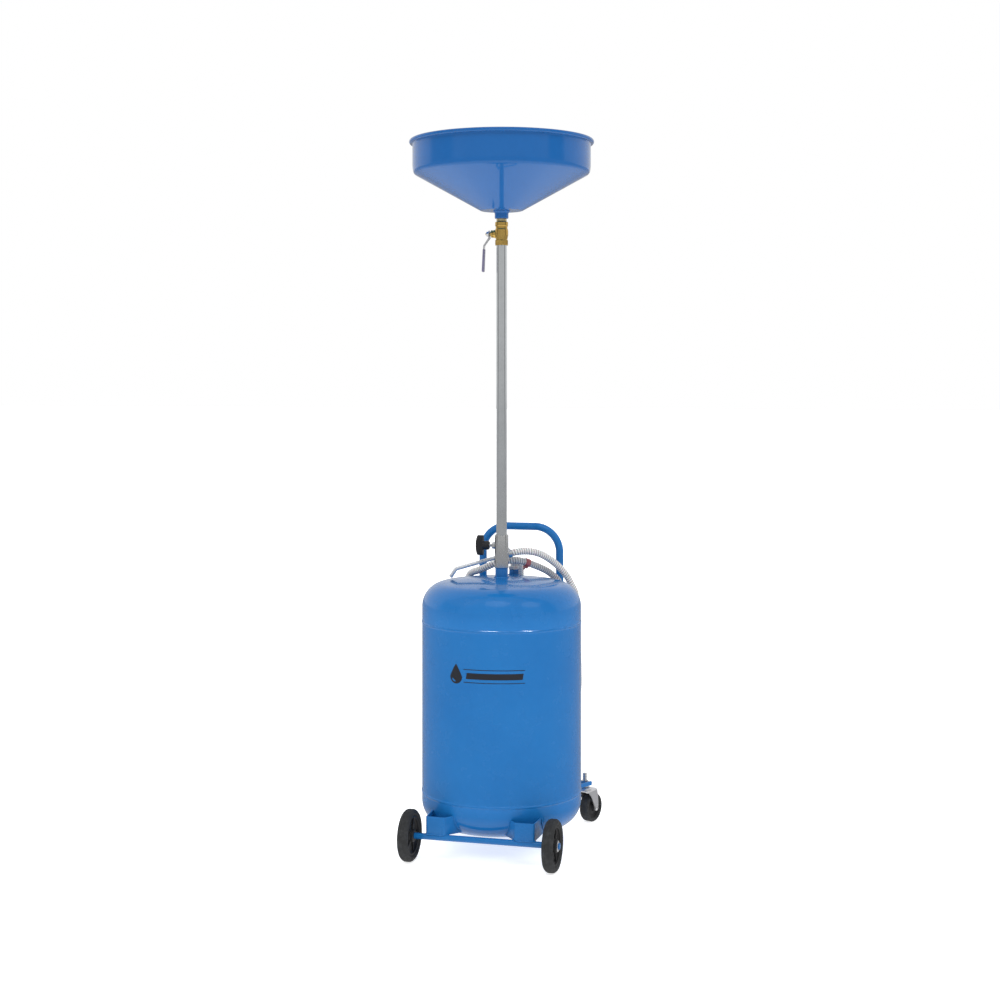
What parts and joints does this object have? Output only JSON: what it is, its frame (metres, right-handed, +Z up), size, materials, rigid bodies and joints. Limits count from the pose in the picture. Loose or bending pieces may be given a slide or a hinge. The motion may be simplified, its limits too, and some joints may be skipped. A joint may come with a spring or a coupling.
{
  "type": "waste oil drainer",
  "caption": "Wide catch bowl with a ball valve on a telescoping column over a wheeled collecting tank, with push handle, dip tube, discharge hose and bent spout.",
  "frame": {"origin": "on the ground, under the middle of the bounding box; the tank and column axis stands 23.7 mm in front of it, at y = -0.0237", "axes": "+Z up along the tank and column axis; the axle side (front) faces -Y and the push handle and castors are at +Y; +X is to the right seen from the front"},
  "size_m": [0.4652, 0.5725, 1.7709],
  "materials": {
    "tank_paint": "glossy baked enamel, mid blue",
    "bowl_paint": "glossy baked enamel, slightly deeper blue",
    "zinc": "bright zinc plating with a faint drawn grain",
    "steel": "plain bent steel tube",
    "brass": "cast and turned brass, satin",
    "tyre_rubber": "matte black rubber with a fine tread grain",
    "wheel_plastic": "black moulded wheel centre",
    "knob_plastic": "black moulded knob",
    "hose_pvc": "clear PVC hose with a fine white spiral reinforcement",
    "clamp_red": "dull red lacquered band",
    "grip_vinyl": "dipped violet-blue vinyl sleeve",
    "seat_ptfe": "white PTFE",
    "bush_nylon": "natural nylon"
  },
  "bodies": {
    "tank": {"tank_top_head": "tank_paint", "tank_shell": "tank_paint", "tank_bottom_head": "tank_paint", "column_socket": "tank_paint", "column_sleeve": "zinc", "sleeve_weld_nut": "zinc", "dip_tube_socket": "tank_paint", "dip_tube": "steel", "outlet_elbow": "zinc", "discharge_hose": "hose_pvc", "hose_clamp_inlet": "zinc", "hose_clamp_middle": "clamp_red", "hose_clamp_spout": "zinc", "spout_tube": "steel", "handle_tube": "tank_paint", "air_inlet_nipple": "brass", "relief_valve_body": "brass", "front_axle": "tank_paint", "front_bracket_right": "tank_paint", "front_bracket_left": "tank_paint", "axle_washer_right": "zinc", "axle_washer_left": "zinc", "castor_arm_right": "tank_paint", "castor_arm_left": "tank_paint", "castor_stem_right": "zinc", "castor_stem_left": "zinc", "castor_stem_nut_right": "zinc", "castor_stem_nut_left": "zinc"},
    "guide_bush": {"column_guide_bush": "bush_nylon"},
    "lift": {"lift_tube": "zinc", "valve_body": "brass", "valve_seat_lower": "seat_ptfe", "valve_seat_upper": "seat_ptfe", "valve_gland_nut": "brass", "bowl_nipple": "brass", "bowl_neck": "bowl_paint", "bowl": "bowl_paint", "bowl_strainer": "zinc"},
    "valve_handle": {"valve_ball": "zinc", "valve_stem": "brass", "valve_lever": "zinc", "lever_grip": "grip_vinyl", "lever_nut": "zinc"},
    "clamp_pad_slide": {"clamp_pad": "brass"},
    "clamp_screw": {"clamp_stud": "zinc", "clamp_knob": "knob_plastic"},
    "relief_ring": {"relief_valve_ring": "zinc"},
    "front_wheel_right": {"front_tyre_right": "tyre_rubber", "front_hub_right": "wheel_plastic"},
    "front_wheel_left": {"front_tyre_left": "tyre_rubber", "front_hub_left": "wheel_plastic"},
    "castor_right": {"castor_fork_right": "zinc", "castor_rivet_right": "zinc"},
    "castor_left": {"castor_fork_left": "zinc", "castor_rivet_left": "zinc"},
    "castor_wheel_right": {"castor_tyre_right": "tyre_rubber", "castor_hub_right": "wheel_plastic"},
    "castor_wheel_left": {"castor_tyre_left": "tyre_rubber", "castor_hub_left": "wheel_plastic"}
  },
  "joints": [
    {"name": "column_turn", "type": "hinge", "parent": "tank", "child": "guide_bush", "pos_m": [0, -0.0237, 0.73], "axis": [0, 0, 1], "continuous": true},
    {"name": "column_lift", "type": "slide", "parent": "guide_bush", "child": "lift", "axis": [0, 0, 1], "range_m": [-0.58, 0.03]},
    {"name": "valve_turn", "type": "hinge", "parent": "lift", "child": "valve_handle", "pos_m": [0, -0.0237, 1.536], "axis": [-1, 0, 0], "range_deg": [0, 90]},
    {"name": "clamp_travel", "type": "slide", "parent": "tank", "child": "clamp_pad_slide", "axis": [-1, 0, 0], "range_m": [0, 0.0025]},
    {"name": "clamp_turn", "type": "hinge", "parent": "clamp_pad_slide", "child": "clamp_screw", "pos_m": [0, -0.0237, 0.751], "axis": [-1, 0, 0], "range_deg": [0, 720]},
    {"name": "relief_pull", "type": "slide", "parent": "tank", "child": "relief_ring", "axis": [0, 1, 0], "range_m": [0, 0.004]},
    {"name": "front_wheel_right_spin", "type": "hinge", "parent": "tank", "child": "front_wheel_right", "pos_m": [0.178, -0.2237, 0.0625], "axis": [1, 0, 0], "continuous": true},
    {"name": "front_wheel_left_spin", "type": "hinge", "parent": "tank", "child": "front_wheel_left", "pos_m": [-0.178, -0.2237, 0.0625], "axis": [1, 0, 0], "continuous": true},
    {"name": "castor_right_swivel", "type": "hinge", "parent": "tank", "child": "castor_right", "pos_m": [0.162, 0.2193, 0.095], "axis": [0, 0, 1], "continuous": true},
    {"name": "castor_left_swivel", "type": "hinge", "parent": "tank", "child": "castor_left", "pos_m": [-0.162, 0.2193, 0.095], "axis": [0, 0, 1], "continuous": true},
    {"name": "castor_wheel_right_spin", "type": "hinge", "parent": "castor_right", "child": "castor_wheel_right", "pos_m": [0.17226, 0.24749, 0.038], "axis": [0.9397, -0.342, 0], "continuous": true},
    {"name": "castor_wheel_left_spin", "type": "hinge", "parent": "castor_left", "child": "castor_wheel_left", "pos_m": [-0.15174, 0.24749, 0.038], "axis": [0.9397, -0.342, 0], "continuous": true}
  ],
  "couplings": [
    {"joint": "clamp_turn", "follows": "clamp_travel", "rad_per_m": 5026.5}
  ]
}
